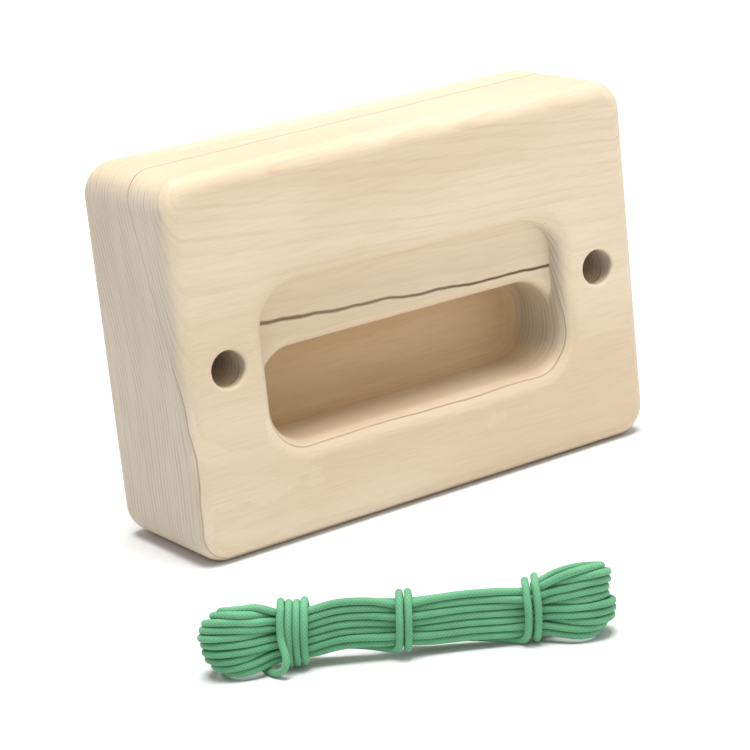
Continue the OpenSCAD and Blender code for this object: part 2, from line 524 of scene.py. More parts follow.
@dataclass(frozen=True)
class BraidFinish:
    """Green braided polyester, six lanes of strands each way round a soft core.

    Attributes:
        light: Colour of the raised strands.
        dark: Colour of the darker patches, and painted shade in the grooves between the strands.
        fluff: Colour of the fine fibres.
        strands: Lanes each way round the cord.
        pitch: Distance along the cord in which a strand goes once round it, in millimetres.
        roughness: Roughness of the fibres.
        gloss: Their specular level.
        sheen: Strength of the fibres' soft shine.
        sheen_roughness: Its roughness.
        sheen_tint: Its colour.
    """

    light: Colour = (0.135, 0.420, 0.215)
    # Darker patches, and painted shade in the braid's grooves.
    dark: Colour = (0.045, 0.205, 0.090)
    fluff: Colour = (0.300, 0.620, 0.380)
    strands: int = 6
    pitch: float = 6.0
    roughness: float = 0.62
    gloss: float = 0.30
    sheen: float = 0.25
    sheen_roughness: float = 0.45
    sheen_tint: Colour = (0.62, 0.90, 0.68)

    def build(self) -> bpy.types.Material:
        """Make the material.

        Returns:
            The braid material, on the cord's own UV map: u round it, v along it in millimetres.
        """
        sheet = NodeSheet("green_braid")
        relief = self.relief(sheet)
        place = sheet.node("ShaderNodeTexCoord").outputs["Object"]
        cloud = sheet.noise(place, 90.0)
        fuzz = sheet.noise(place, 2600.0)
        # Painted shade: the grooves are coloured darker than the raised strands, mixed with a random tone.
        tone = sheet.scaled(relief, 0.38, sheet.times(cloud, 0.66))
        base = sheet.mix(sheet.ramp(tone, 0.15, 0.90), self.dark, self.light)
        base = sheet.mix(sheet.times(fuzz, 0.18), base, self.fluff)
        sheet.wire(base, sheet.shader.inputs["Base Color"])
        sheet.shader.inputs["Roughness"].default_value = self.roughness
        sheet.shader.inputs["Specular IOR Level"].default_value = self.gloss
        sheet.shader.inputs["Sheen Weight"].default_value = self.sheen
        sheet.shader.inputs["Sheen Roughness"].default_value = self.sheen_roughness
        sheet.shader.inputs["Sheen Tint"].default_value = (*self.sheen_tint, 1.0)
        fine = sheet.bump(fuzz, 0.35, 0.05 * MM)
        sheet.wire(sheet.bump(relief, 0.6, 0.14 * MM, fine), sheet.shader.inputs["Normal"])
        return sheet.material

    def relief(self, sheet: NodeSheet) -> bpy.types.NodeSocket:
        """Weave the two ways of strands over and under each other.

        Args:
            sheet: The material being made.

        Returns:
            Height of the braid, from 0 between the strands to 1 on them.
        """
        split = sheet.node("ShaderNodeSeparateXYZ")
        sheet.wire(sheet.node("ShaderNodeUVMap", uv_map="braid").outputs[0], split.inputs[0])
        round_it = sheet.times(split.outputs[0], float(self.strands))
        along = sheet.math("DIVIDE", split.outputs[1], self.pitch / self.strands)
        rows, sines = [], []
        for sign in (1.0, -1.0):
            lane = sheet.scaled(along, sign, round_it)
            sines.append(sheet.math("SINE", sheet.times(lane, math.pi)))
            # The whole number keeps the lane positive, where its fraction runs from 0 to 1.
            lane = sheet.math("SUBTRACT", sheet.math("FRACT", sheet.math("ADD", lane, 4000.0)), 0.5)
            rows.append(sheet.math("COSINE", sheet.times(lane, math.pi)))
        blend = sheet.node("ShaderNodeMix", data_type="FLOAT")
        over = sheet.ramp(sheet.times(sines[0], sines[1]), -0.25, 0.25)
        for index, value in ((0, over), (2, rows[0]), (3, rows[1])):
            sheet.wire(value, blend.inputs[index])
        return blend.outputs[0]


# ---- Wound cord ----------------------------------------------------------------


class End(Enum):
    """The two folded ends of the bundle."""

    LEFT = -1
    RIGHT = 1


@dataclass(frozen=True)
class Tie:
    """A few turns of the cord laid round the bundle.

    Attributes:
        at: Where its first turn crosses the front, in millimetres from the bundle's middle.
        start: Direction round the bundle in which it starts; minus half a turn is the front.
        finish: Direction in which it stops, after all its turns.
        pitch: Distance from one turn to the next.
        lean: How far a turn's top lies further along than its bottom.
        bulge: How far the front of a turn stands out along the bundle.
    """

    at: float
    start: float
    finish: float
    pitch: float
    lean: float
    bulge: float

    def place(self, angle: float) -> float:
        """Place along the bundle of a turn at one direction round it."""
        return self.at + self.pitch * (-math.pi - angle) / math.tau


@dataclass
class WoundCord:
    """The hanging cord, wound into ten long loops and tied three times with its own turns.

    Lengths are in millimetres. The bundle's own axes are u along it, v away from
    the front and z up from the floor. A loop is a run along the front, a fold at
    the left, a run along the back and a fold at the right.

    Attributes:
        diameter: Thickness of the cord.
        middle: Where the bundle's middle stands, in the frame.
        turn: Turn of the bundle about the vertical, in degrees.
        loops: Number of loops.
        fold_radius: Radius of the round folds, seen from above.
        left_tips: How far each loop reaches left of the middle, from the top down.
        right_tips: How far each loop reaches right of the middle.
        left_levels: Heights of the front runs at the left end.
        right_top: Height of the top front run at the right end.
        right_pitch: Distance from one front run to the next there.
        back_left_top: Height of the top back run at the left end.
        back_left_pitch: Distance from one back run to the next there.
        back_right_top: Height of the top back run at the right end.
        back_right_pitch: Distance from one back run to the next there.
        waist_order: Loops whose runs lie on the outside of the waist; the others lie between.
        waist_pitch: Distance from one run to the next at the waist.
        column_pitch: Distance from the middle column of runs to the outer ones.
        half_heights: Half height of the bundle to its outer strands, at places along it.
        half_depths: Half depth of it, at distances from its middle.
        centre_heights: Height of its centre line over the floor, at places along it.
        ties: The three ties, from the left.
        bare_start: Where the cord starts, on the top back run.
        step: Spacing of the places at which the runs are worked out.
        reach: How far from the middle they are worked out.
        sides: Sides of the swept section.
        finish: Finish of the cord.
        u: The places at which the runs are worked out, once they have settled.
        runs: Every run's (v, z) at each of them.
    """

    diameter: float = 1.8
    middle: tuple[float, float] = (-69.5, -109.5)
    turn: float = -31.5
    loops: int = 10
    fold_radius: float = 5.4
    left_tips: tuple[float, ...] = (45.3, 47.0, 49.1, 49.9, 50.5, 50.0, 49.9, 49.4, 48.1, 45.8)
    right_tips: tuple[float, ...] = (47.2, 48.6, 48.4, 47.9, 47.8, 49.2, 49.1, 48.7, 46.9, 45.4)
    left_levels: tuple[float, ...] = (18.1, 17.3, 15.3, 13.3, 11.3, 9.3, 7.2, 5.2, 3.2, 1.2)
    right_top: float = 19.1
    right_pitch: float = 2.0
    back_left_top: float = 16.55
    back_left_pitch: float = 1.55
    back_right_top: float = 15.3
    back_right_pitch: float = 1.6
    waist_order: tuple[int, ...] = (0, 2, 3, 5, 6, 8, 9)
    waist_pitch: float = 1.86
    column_pitch: float = 1.62
    half_heights: tuple[tuple[float, float], ...] = (
        (-60, 14), (-36, 8.0), (-32.5, 6.9), (-31, 6.0), (-27.5, 5.4), (-24, 5.5), (-22.5, 6.0),
        (-14, 6.0), (-5, 5.8), (-3.5, 5.0), (-1.5, 4.8), (0.5, 5.0), (2, 5.7), (10, 6.0), (24, 5.9),
        (26, 5.2), (28, 5.0), (30, 5.2), (31.5, 6.2), (36, 7.6), (60, 14),
    )
    half_depths: tuple[tuple[float, float], ...] = (
        (0, 2.9), (6, 2.7), (14, 2.6), (24, 2.8), (30, 3.3), (38, 6.5), (60, 8.0),
    )
    centre_heights: tuple[tuple[float, float], ...] = (
        (-45, 9.6), (-33, 9.3), (-28, 8.6), (-24, 8.8), (-17, 10.2), (-10, 9.9), (-1, 8.6), (13, 8.9),
        (28, 7.9), (45, 9.9),
    )
    ties: tuple[Tie, ...] = (
        Tie(-30.3, -1.04 * math.pi, -8.30 * math.pi, 1.86, 0.3, -0.9),
        Tie(-2.6, -0.62 * math.pi, -4.30 * math.pi, 2.05, 0.3, 0.0),
        Tie(27.2, -0.62 * math.pi, -3.92 * math.pi, 2.35, -0.2, 0.9),
    )
    bare_start: float = 27.6
    step: float = 1.0
    reach: float = 44.0
    sides: int = 14
    finish: BraidFinish = field(default_factory=BraidFinish)
    u: np.ndarray = field(init=False, repr=False)
    runs: np.ndarray = field(init=False, repr=False)

    def centre_height(self, u: np.ndarray | float) -> np.ndarray | float:
        """Height of the bundle's centre line over the floor."""
        return read_profile(u, self.centre_heights)

    def waist_places(self) -> np.ndarray:
        """Places of the strands at the waist, in three columns.

        Returns:
            Every run's (v, z) from the bundle's middle: the front runs, then the back runs.
        """
        front, back = np.zeros((self.loops, 2)), np.zeros((self.loops, 2))
        inner = [k for k in range(self.loops) if k not in self.waist_order]
        for row, k in enumerate(self.waist_order):
            height = (len(self.waist_order) - 1) / 2 - row
            front[k] = (-self.column_pitch, height * self.waist_pitch)
            back[k] = (self.column_pitch, height * self.waist_pitch)
        # The middle column takes a front run and a back run in turn.
        off_line = 0.05
        for row, k in enumerate(inner):
            front[k] = (-off_line, (2.5 - 2 * row) * self.waist_pitch)
            back[k] = (off_line, (1.5 - 2 * row) * self.waist_pitch)
        return np.concatenate([front, back])

    def end_places(self, u: np.ndarray) -> np.ndarray:
        """Places of the strands at the nearer end of the bundle.

        Args:
            u: Places along the bundle.

        Returns:
            Every run's (v, z) at the end that each place is nearer to.
        """
        top_run_back, stagger = 1.7, 0.8
        order = np.arange(self.loops)
        left = [np.array(self.left_levels), self.back_left_top - self.back_left_pitch * order]
        right = [self.right_top - self.right_pitch * order,
                 self.back_right_top - self.back_right_pitch * order]
        ends = np.zeros((2 * self.loops, u.size, 2))
        ends[: self.loops, :, 0], ends[self.loops:, :, 0] = -self.fold_radius, self.fold_radius
        ends[0, u < 0, 0] += top_run_back
        ends[self.loops + 1:: 2, :, 0] -= stagger
        heights = np.concatenate(right)[:, None], np.concatenate(left)[:, None]
        ends[..., 1] = np.where((u > 0)[None, :], *heights)
        return ends

    def homes(self, u: np.ndarray) -> np.ndarray:
        """Places that the runs are drawn to, before they push each other apart.

        Args:
            u: Places along the bundle.

        Returns:
            Every run's (v, z) at each of them: the front runs from the top down, then the back runs.
        """
        fan_from, open_from, fan_length, straight, eased = 30.0, 28.0, 13.0, 0.85, 0.15
        drift_size, drift_waves, seed = 0.16, 4, 11
        home = self.waist_places()[:, None, :] + np.zeros((1, u.size, 1))
        home[..., 1] += self.centre_height(u)
        ends = self.end_places(u)
        fan = np.clip((np.abs(u) - fan_from) / fan_length, 0.0, 1.0)[None, :]
        rise = straight * fan + eased * smoothstep(fan)
        home[..., 1] += (ends[..., 1] - home[..., 1]) * rise
        open_out = smoothstep((np.abs(u) - open_from) / fan_length)[None, :]
        home[..., 0] += (ends[..., 0] - home[..., 0]) * open_out
        rng = np.random.default_rng(seed)
        drift = rng.normal(0.0, 1.0, (2 * self.loops, drift_waves))
        whole, run = 2 * self.reach, u + self.reach
        waves = np.stack([np.sin(math.pi * (j + 1) * run / whole) for j in range(drift_waves)])
        home[..., 1] += drift_size * (drift @ waves) * (1.0 - fan)
        return home

    def settle(self) -> tuple[np.ndarray, np.ndarray]:
        """Squeeze the straight runs together inside the ties without letting them overlap.

        Returns:
            The places along the bundle, and every run's (v, z) at each of them.
        """
        rounds, last_rounds, passes = 500, 150, 3
        roundness, squeeze, shove = 2.6, 0.25, 0.35
        apart = self.diameter * 1.02
        u = np.arange(-self.reach, self.reach + 0.5 * self.step, self.step)
        home, mid = self.homes(u), self.centre_height(u)
        runs = home.copy()
        hold = smoothstep((np.abs(u) - 37.0) / 6.0)[None, :, None] * 0.5 + 0.03
        inside = (1.0 - smoothstep((np.abs(u) - 30.0) / 4.0))[None, :, None]
        high, deep = read_profile(u, self.half_heights), read_profile(np.abs(u), self.half_depths)
        first, second = np.triu_indices(2 * self.loops, 1)
        for turn in range(rounds):
            x, z = runs[..., 0], runs[..., 1] - mid
            out = (np.abs(x) / deep) ** roundness + (np.abs(z) / high) ** roundness
            out = np.maximum(out ** (1 / roundness), 1.0)
            runs += squeeze * (1.0 / out - 1.0)[..., None] * inside * np.stack([x, z], axis=-1)
            runs += hold * (home - runs)
            easing = 0.5 if turn < rounds - last_rounds else 0.1
            smooth = runs.copy()
            smooth[:, 1:-1] = 0.25 * runs[:, :-2] + 0.5 * runs[:, 1:-1] + 0.25 * runs[:, 2:]
            runs = (1.0 - easing) * runs + easing * smooth
            for _ in range(passes):
                gap = runs[first] - runs[second]
                far = np.linalg.norm(gap, axis=-1)
                short = np.clip(apart - far, 0.0, None)[..., None]
                push = shove * short * gap / np.maximum(far, 1e-6)[..., None]
                np.add.at(runs, first, push)
                np.add.at(runs, second, -push)
        return u, runs

    def fold(self, start: np.ndarray, finish: np.ndarray, tip: float, end: End) -> list[np.ndarray]:
        """Lay the round fold that joins two runs at one end.

        Args:
            start: Where the first run stops, as (u, v, z).
            finish: Where the second run starts.
            tip: Distance of the fold's outer face from the middle of the bundle.
            end: Which end the fold is at.

        Returns:
            Points of the fold between the two runs.
        """
        stops = 17
        radius = abs(finish[1] - start[1]) / 2.0
        centre = tip - radius - self.diameter / 2.0
        points = []
        for t in np.linspace(0.0, 1.0, stops):
            angle = math.pi * t
            u = end.value * (centre + radius * math.sin(angle))
            v = (start[1] + finish[1]) / 2.0 + (start[1] - finish[1]) / 2.0 * math.cos(angle)
            z = start[2] + (finish[2] - start[2]) * float(smoothstep(t))
            points.append(np.array([u, v, z]))
        return points

    def run_points(self, u: np.ndarray, run: np.ndarray, start: float, finish: float) -> list[np.ndarray]:
        """Pick the points of one run between two places.

        Args:
            u: The places along the bundle.
            run: The run's (v, z) at each place.
            start: Where it starts.
            finish: Where it stops; the run goes leftwards if that is the smaller.

        Returns:
            Its points as (u, v, z), in the order they are passed.
        """
        margin = 0.6
        low, high = min(start, finish) + margin, max(start, finish) - margin
        keep = [i for i in range(u.size) if low <= u[i] <= high]
        points = [np.array([u[i], run[i, 0], run[i, 1]]) for i in keep]
        return points if finish > start else points[::-1]

    def route(self) -> np.ndarray:
        """Lay out the whole cord from its bare start to its bare end.

        Returns:
            Points of its centre line as (u, v, z), closely spaced.
        """
        self.u, self.runs = u, runs = self.settle()
        front, back = runs[: self.loops], runs[self.loops:]
        points: list[np.ndarray] = []
        place = self.bare_start
        margin = self.fold_radius + self.diameter / 2.0
        for k in range(self.loops):
            turn_in = self.right_tips[k] - margin
            points += self.run_points(u, back[k], place, turn_in)
            points += self.fold(self.at_end(u, back[k], turn_in), self.at_end(u, front[k], turn_in),
                                self.right_tips[k], End.RIGHT)
            turn_out = margin - self.left_tips[k]
            points += self.run_points(u, front[k], turn_in, turn_out)
            if k + 1 < self.loops:
                finish = self.at_end(u, back[k + 1], turn_out)
            else:
                finish = np.array([turn_out, self.fold_radius, self.diameter / 2.0])
            points += self.fold(self.at_end(u, front[k], turn_out), finish, self.left_tips[k], End.LEFT)
            place = turn_out
        points += self.tie_points()
        return self.even(np.array(points))

    def at_end(self, u: np.ndarray, run: np.ndarray, place: float) -> np.ndarray:
        """Where a run is at one place along the bundle."""
        return np.array([place, np.interp(place, u, run[:, 0]), np.interp(place, u, run[:, 1])])

    def tie_points(self) -> list[np.ndarray]:
        """Lead the cord from the last fold under the bundle and round the three ties.

        Returns:
            The points from there to the bare end.
        """
        angle_step, settling_passes, low = 0.2, 3, self.diameter / 2.0
        points = [np.array(point) for point in self.lead_in()]
        around: list[tuple[float, float, float]] = []
        for index, tie in enumerate(self.ties):
            for angle in np.linspace(tie.start, tie.finish, int((tie.start - tie.finish) / angle_step)):
                at = tie.place(angle) + tie.lean * 0.5 * math.sin(angle)
                at += tie.bulge * max(0.0, -math.cos(angle)) ** 2 * 0.5
                around.append((angle, at, 0.0))
            if index + 1 < len(self.ties):
                around += self.link(tie, self.ties[index + 1])
        around += self.bare_end(*around[-1][:2])
        reach = np.array([
            max(self.reach_at(at, angle), self.full_reach(at, angle)) for angle, at, _ in around
        ])
        for _ in range(settling_passes):
            smooth = 0.25 * reach[:-2] + 0.5 * reach[1:-1] + 0.25 * reach[2:]
            reach[1:-1] = np.maximum(reach[1:-1], smooth)
        for (angle, at, sag), far in zip(around, reach):
            height = float(self.centre_height(at)) + (far + sag) * math.sin(angle)
            points.append(np.array([at, (far + sag) * math.cos(angle), max(low, height)]))
        return points

    def lead_in(self) -> list[tuple[float, float, float]]:
        """Lead the cord under the left end of the bundle and up into the first tie.

        Returns:
            Its points as (u, v, z), chosen by hand.
        """
        low = self.diameter / 2.0
        return [
            (-38.4, 5.3, low), (-37.1, 4.6, low), (-36.1, 3.2, low), (-35.4, 1.4, low), (-34.9, -0.6, low),
            # Its points as (u, v, z), listed one by one.
            (-34.3, -2.6, low), (-33.4, -4.4, low), (-32.2, -5.9, 1.0), (-30.9, -7.0, 1.6),
            (-29.8, -7.6, 2.7), (-29.3, -7.5, 4.1), (-29.5, -7.0, 5.6),
        ]

    def bare_end(self, angle: float, at: float) -> list[tuple[float, float, float]]:
        """Tuck the cord's end in beside the last turn.

        Args:
            angle: Direction round the bundle in which the last turn stops.
            at: Place along the bundle where it stops.

        Returns:
            Its points as direction round the bundle, place along it and sag.
        """
        length, slowing, aside = 1.5, 0.5, 3.4
        shares = (0.25, 0.5, 0.75, 1.0)
        return [(angle - 0.5 * t * (length - slowing * t), at + aside * t * t, 0.0) for t in shares]

    def link(self, tie: Tie, after: Tie) -> list[tuple[float, float, float]]:
        """Lead the cord along the underside from one tie to the next.

        Args:
            tie: The tie it leaves.
            after: The tie it goes to.

        Returns:
            Its points as direction round the bundle, place along it and sag.
        """
        stops, turning, sliding, lateness, tuck = 22, 1.9, 3.0, 1.6, 0.35
        start, leave = tie.place(tie.finish), math.remainder(tie.finish, math.tau)
        finish, arrive = after.place(after.start), after.start
        points = []
        for t in np.linspace(0.06, 0.94, stops):
            # The first term eases from tie to tie; the second keeps each turn going at its own end.
            eased, carried = t * t * (3 - 2 * t), t * (1 - t) * (1 - 2 * t)
            angle = leave + (arrive - leave) * eased ** lateness - turning * carried
            at = start + (finish - start) * eased + sliding * carried
            points.append((angle, at, -tuck * math.sin(math.pi * t)))
        return points

    def full_reach(self, place: float, angle: float) -> float:
        """How far out a turn with full, round corners lies in one direction.

        Args:
            place: Place along the bundle.
            angle: Direction from the middle; 0 is straight back, a quarter turn is up.

        Returns:
            Distance of the turn's centre line from the middle.
        """
        least_radius = 4.6
        wide = max(self.reach_at(place, 0.0), self.reach_at(place, math.pi), least_radius)
        tall = max(self.reach_at(place, math.pi / 2), self.reach_at(place, -math.pi / 2))
        straight = max(tall - wide, 0.0)
        across, up = abs(math.cos(angle)), abs(math.sin(angle))
        if up * wide <= across * straight:
            return wide / across
        return up * straight + math.sqrt(max(wide ** 2 - (across * straight) ** 2, 0.0))

    def reach_at(self, place: float, angle: float) -> float:
        """How far out a turn has to lie to clear the strands in one direction.

        Args:
            place: Place along the bundle.
            angle: Direction from the middle; 0 is straight back, a quarter turn is up.

        Returns:
            Distance of the turn's centre line from the middle.
        """
        widest_swing, ways_looked, slack = 1.0, 41, 0.16
        i = int(np.argmin(np.abs(self.u - place)))
        strands = self.runs[:, max(0, i - 1): i + 2].reshape(-1, 2).copy()
        strands[:, 1] -= float(self.centre_height(place))
        swings = np.linspace(-widest_swing, widest_swing, ways_looked)
        ways = np.stack([np.cos(angle + swings), np.sin(angle + swings)])
        support = np.max(strands @ ways, axis=0) + self.diameter * 1.02 + slack
        return float(np.min(support / np.cos(swings)))

    def even(self, points: np.ndarray) -> np.ndarray:
        """Smooth the points a little and space them evenly.

        Args:
            points: The rough route.

        Returns:
            The route with a point about every half millimetre.
        """
        closest, pace_and_passes = 0.35, ((0.9, 3), (0.5, 4))
        keep = [points[0]]
        for point in points[1:]:
            if np.linalg.norm(point - keep[-1]) > closest:
                keep.append(point)
        points = np.array(keep)
        for pace, passes in pace_and_passes:
            run = np.concatenate([[0.0], np.cumsum(np.linalg.norm(np.diff(points, axis=0), axis=1))])
            count = int(run[-1] / pace)
            marks = np.linspace(0.0, run[-1], count)
            points = np.stack([np.interp(marks, run, points[:, i]) for i in range(3)], axis=1)
            for _ in range(passes):
                points[1:-1] = 0.25 * points[:-2] + 0.5 * points[1:-1] + 0.25 * points[2:]
        return self.part(points)

    def part(self, points: np.ndarray) -> np.ndarray:
        """Push strands apart wherever they still press into each other.

        Args:
            points: The evenly spaced route.

        Returns:
            The route with its strands just touching.
        """
        apart, push_share, ease = self.diameter * 0.985, 0.22, 0.08
        rounds, pushes, crowd = 4, 14, 2.2
        for _ in range(rounds):
            first, second = self.near_pairs(points)
            for _ in range(pushes):
                gap = points[first] - points[second]
                far = np.linalg.norm(gap, axis=1)
                short = np.clip(apart - far, 0.0, None)
                push = (push_share * short / np.maximum(far, 1e-6))[:, None] * gap
                moved, tally = np.zeros_like(points), np.zeros(len(points))
                np.add.at(moved, first, push)
                np.add.at(moved, second, -push)
                hit = (far < apart).astype(float)
                np.add.at(tally, first, hit)
                np.add.at(tally, second, hit)
                points = points + moved * (crowd / np.maximum(tally, crowd))[:, None]
                points[1:-1] = ease * points[:-2] + (1 - 2 * ease) * points[1:-1] + ease * points[2:]
                points[:, 2] = np.maximum(points[:, 2], self.diameter / 2.0)
        return points

    def near_pairs(self, points: np.ndarray) -> tuple[np.ndarray, np.ndarray]:
        """Find the points of different strands that lie close together.

        Args:
            points: The evenly spaced route.

        Returns:
            Numbers of the first and of the second point of every pair.
        """
        close_by, own_strand, most_between = 2.2, 9, 420
        order = np.argsort(points[:, 0], kind="stable")
        firsts, seconds = [], []
        for offset in range(1, most_between):
            one, two = order[:-offset], order[offset:]
            near = points[two, 0] - points[one, 0] < close_by
            if not near.any():
                break
            near &= np.abs(one - two) > own_strand
            near &= np.abs(points[one, 1] - points[two, 1]) < close_by
            near &= np.abs(points[one, 2] - points[two, 2]) < close_by
            firsts.append(one[near])
            seconds.append(two[near])
        return np.concatenate(firsts), np.concatenate(seconds)

    def world(self, points: np.ndarray) -> np.ndarray:
        """Turn bundle millimetres into metres in the frame.

        Args:
            points: Places as (u, v, z).

        Returns:
            The same places in the frame.
        """
        angle = math.radians(self.turn)
        along = np.array([math.cos(angle), math.sin(angle), 0.0])
        away = np.array([-math.sin(angle), math.cos(angle), 0.0])
        origin = np.array([self.middle[0], self.middle[1], 0.0])
        placed = origin + points[:, :1] * along + points[:, 1:2] * away
        placed[:, 2] = points[:, 2]
        return placed * MM

    def sweep_tree(self, material: bpy.types.Material) -> bpy.types.NodeTree:
        """Build the node tree that sweeps a round section along the route.

        Args:
            material: Finish of the swept cord.

        Returns:
            The tree, with the cord's radius and number of sides as inputs.
        """
        tree = bpy.data.node_groups.new("sweep_cord", "GeometryNodeTree")
        face = tree.interface
        face.new_socket("Route", in_out="INPUT", socket_type="NodeSocketGeometry")
        face.new_socket("Radius", in_out="INPUT", socket_type="NodeSocketFloat")
        face.new_socket("Sides", in_out="INPUT", socket_type="NodeSocketInt")
        face.new_socket("Cord", in_out="OUTPUT", socket_type="NodeSocketGeometry")
        new, link = tree.nodes.new, tree.links.new
        given, made = new("NodeGroupInput"), new("NodeGroupOutput")
        curve = new("GeometryNodeMeshToCurve")
        link(given.outputs["Route"], curve.inputs["Mesh"])
        radius = new("GeometryNodeInputNamedAttribute")
        radius.data_type = "FLOAT"
        radius.inputs["Name"].default_value = "taper"
        sized = new("GeometryNodeSetCurveRadius")
        link(curve.outputs[0], sized.inputs["Curve"])
        link(radius.outputs["Attribute"], sized.inputs["Radius"])
        length = new("GeometryNodeSplineParameter")
        marked = new("GeometryNodeStoreNamedAttribute")
        marked.data_type, marked.domain = "FLOAT", "POINT"
        marked.inputs["Name"].default_value = "run"
        link(sized.outputs[0], marked.inputs["Geometry"])
        link(length.outputs["Length"], marked.inputs["Value"])
        ring = new("GeometryNodeCurvePrimitiveCircle")
        link(given.outputs["Sides"], ring.inputs["Resolution"])
        link(given.outputs["Radius"], ring.inputs["Radius"])
        round_it = new("GeometryNodeSplineParameter")
        marked_ring = new("GeometryNodeStoreNamedAttribute")
        marked_ring.data_type, marked_ring.domain = "FLOAT", "POINT"
        marked_ring.inputs["Name"].default_value = "round"
        link(ring.outputs[0], marked_ring.inputs["Geometry"])
        link(round_it.outputs["Factor"], marked_ring.inputs["Value"])
        sweep = new("GeometryNodeCurveToMesh")
        link(marked.outputs[0], sweep.inputs["Curve"])
        link(marked_ring.outputs[0], sweep.inputs["Profile Curve"])
        sweep.inputs["Fill Caps"].default_value = True
        link(radius.outputs["Attribute"], sweep.inputs["Scale"])
        smooth = new("GeometryNodeSetShadeSmooth")
        link(sweep.outputs[0], smooth.inputs["Geometry"])
        real = new("GeometryNodeRealizeInstances")
        link(smooth.outputs[0], real.inputs[0])
        dressed = new("GeometryNodeSetMaterial")
        dressed.inputs["Material"].default_value = material
        link(real.outputs[0], dressed.inputs["Geometry"])
        link(dressed.outputs[0], made.inputs[0])
        return tree

    def build(self) -> bpy.types.Object:
        """Returns:
            The cord's object.
        """
        path = self.world(self.route())
        gaps = np.linalg.norm(np.diff(path, axis=0), axis=1)
        mesh = bpy.data.meshes.new("cord_route")
        mesh.from_pydata([tuple(p) for p in path], [(i, i + 1) for i in range(len(path) - 1)], [])
        taper = mesh.attributes.new("taper", "FLOAT", "POINT")
        taper.data.foreach_set("value", self.end_taper(gaps).astype(np.float32))
        cord = add_object("wound_cord", mesh)
        tree = self.sweep_tree(self.finish.build())
        inputs = [item for item in tree.interface.items_tree if item.in_out == "INPUT"]
        sockets = {item.name: item.identifier for item in inputs}
        modifier = cord.modifiers.new("sweep", "NODES")
        modifier.node_group = tree
        modifier[sockets["Radius"]] = self.diameter * MM / 2.0
        modifier[sockets["Sides"]] = self.sides
        bake_modifiers(cord)
        self.map_braid(cord.data)
        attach(cord, "cord")
        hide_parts("cord_hank", "tie_left", "tie_middle", "tie_right")
        return cord

    def end_taper(self, gaps: np.ndarray) -> np.ndarray:
        """Round the cord's two bare ends off.

        Args:
            gaps: Distances from each point of the route to the next, in metres.

        Returns:
            The share of the full thickness at each point.
        """
        narrowest = 0.25
        from_start = np.concatenate([[0.0], np.cumsum(gaps)])
        from_finish = np.concatenate([np.cumsum(gaps[::-1])[::-1], [0.0]])
        into = np.clip(np.minimum(from_start, from_finish) / (self.diameter * MM / 2.0), 0.0, 1.0)
        return np.maximum(np.sqrt(np.clip(1.0 - (1.0 - into) ** 2, 0.0, 1.0)), narrowest)

    def map_braid(self, mesh: bpy.types.Mesh) -> None:
        """Turn the swept attributes into the braid's UV map.

        Args:
            mesh: The swept mesh.
        """
        count = len(mesh.vertices)
        run, around = np.zeros(count, np.float32), np.zeros(count, np.float32)
        mesh.attributes["run"].data.foreach_get("value", run)
        mesh.attributes["round"].data.foreach_get("value", around)
        corners = np.zeros(len(mesh.loops), np.int32)
        mesh.loops.foreach_get("vertex_index", corners)
        u, v = around[corners], run[corners] / MM
        starts = np.zeros(len(mesh.polygons), np.int32)
        sizes = np.zeros(len(mesh.polygons), np.int32)
        mesh.polygons.foreach_get("loop_start", starts)
        mesh.polygons.foreach_get("loop_total", sizes)
        # A face that closes the round goes on past one instead of back to nought.
        for start, size in zip(starts, sizes):
            face = u[start:start + size]
            if size == 4 and face.max() - face.min() > 0.5:
                face[face < 0.5] += 1.0
        layer = mesh.uv_layers.new(name="braid")
        layer.data.foreach_set("uv", np.stack([u, v], axis=1).ravel())


# ---- Block ---------------------------------------------------------------------


@dataclass
class Loop:
    """A closed ring of points on the block, all in the same order.

    Attributes:
        points: Their (x, z) over the block's bottom face, in millimetres.
        depth: Their distance behind the front face.
    """

    points: np.ndarray
    depth: np.ndarray


